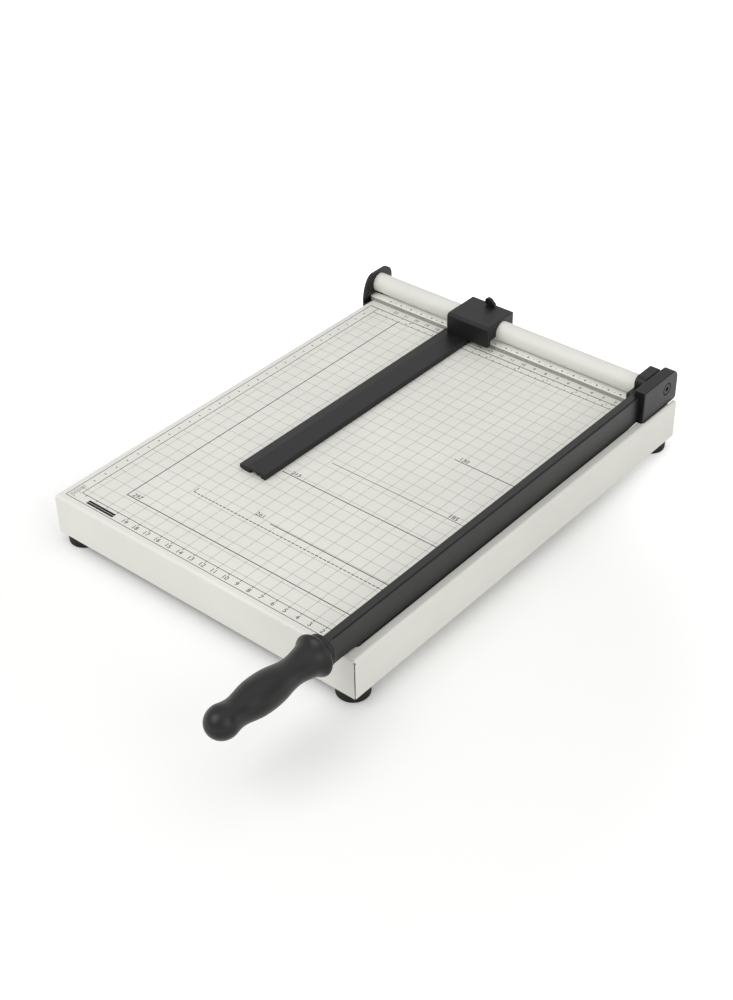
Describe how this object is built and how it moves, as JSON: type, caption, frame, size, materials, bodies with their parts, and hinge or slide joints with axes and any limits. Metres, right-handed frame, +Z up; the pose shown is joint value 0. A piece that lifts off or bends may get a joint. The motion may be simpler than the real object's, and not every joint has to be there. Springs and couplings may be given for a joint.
{
  "type": "paper cutter",
  "caption": "Guillotine paper cutter with a sheet-steel tray, a lever blade on its right edge, a rear rail with fence, and a paper clamp that slides along the rail and lifts.",
  "frame": {"origin": "on the standing surface, under the middle of the cutter's whole length and of the tray's width", "axes": "+X to the right, the blade side; +Y to the rear, where the rail and the blade's pivot are; +Z up"},
  "size_m": [0.2656, 0.4648, 0.0677],
  "materials": {
    "ivory_paint": "fine satin powder coat",
    "black_paint": "satin black paint",
    "black_plastic": "moulded, soft sheen",
    "liner_plastic": "smooth, natural white",
    "blade_steel": "ground",
    "fastener_steel": "zinc plated",
    "foot_rubber": "matt"
  },
  "bodies": {
    "base": {"base_tray": "ivory_paint", "fixed_blade": "blade_steel", "fixed_blade_screws": "fastener_steel", "left_end_plate": "black_plastic", "end_plate_screws": "fastener_steel", "pivot_bracket": "black_plastic", "bracket_screws": "fastener_steel", "rail_tube": "ivory_paint", "rail_tie_bolt": "fastener_steel", "fence_rule": "ivory_paint", "fence_screws": "fastener_steel", "foot_front_left": "foot_rubber", "foot_front_right": "foot_rubber", "foot_rear_left": "foot_rubber", "foot_rear_right": "foot_rubber", "foot_screws": "fastener_steel", "foot_nuts": "fastener_steel", "pivot_bolt": "fastener_steel", "thrust_washer": "liner_plastic"},
    "blade_lever": {"blade_arm": "black_paint", "moving_blade": "blade_steel", "blade_screws": "fastener_steel", "root_block": "black_plastic", "root_block_screws": "fastener_steel", "spring_washer": "fastener_steel", "handle_grip": "black_plastic"},
    "slider": {"slide_bush": "liner_plastic"},
    "clamp": {"clamp_block": "black_plastic", "press_arm": "black_plastic", "press_arm_screws": "fastener_steel"},
    "lock": {"lock_lever": "black_plastic"}
  },
  "joints": [
    {"name": "blade_swing", "type": "hinge", "parent": "base", "child": "blade_lever", "pos_m": [0.1227, 0.21861, 0.0516], "axis": [-1, 0, 0], "range_deg": [0, 75]},
    {"name": "clamp_slide", "type": "slide", "parent": "base", "child": "slider", "axis": [1, 0, 0], "range_m": [-0.075, 0.1198]},
    {"name": "clamp_lift", "type": "hinge", "parent": "slider", "child": "clamp", "pos_m": [-0.03095, 0.21356, 0.04955], "axis": [-1, 0, 0], "range_deg": [0, 35]},
    {"name": "lock_turn", "type": "hinge", "parent": "clamp", "child": "lock", "pos_m": [-0.03095, 0.22426, 0.05925], "axis": [0, 0, 1], "range_deg": [0, 180]}
  ]
}
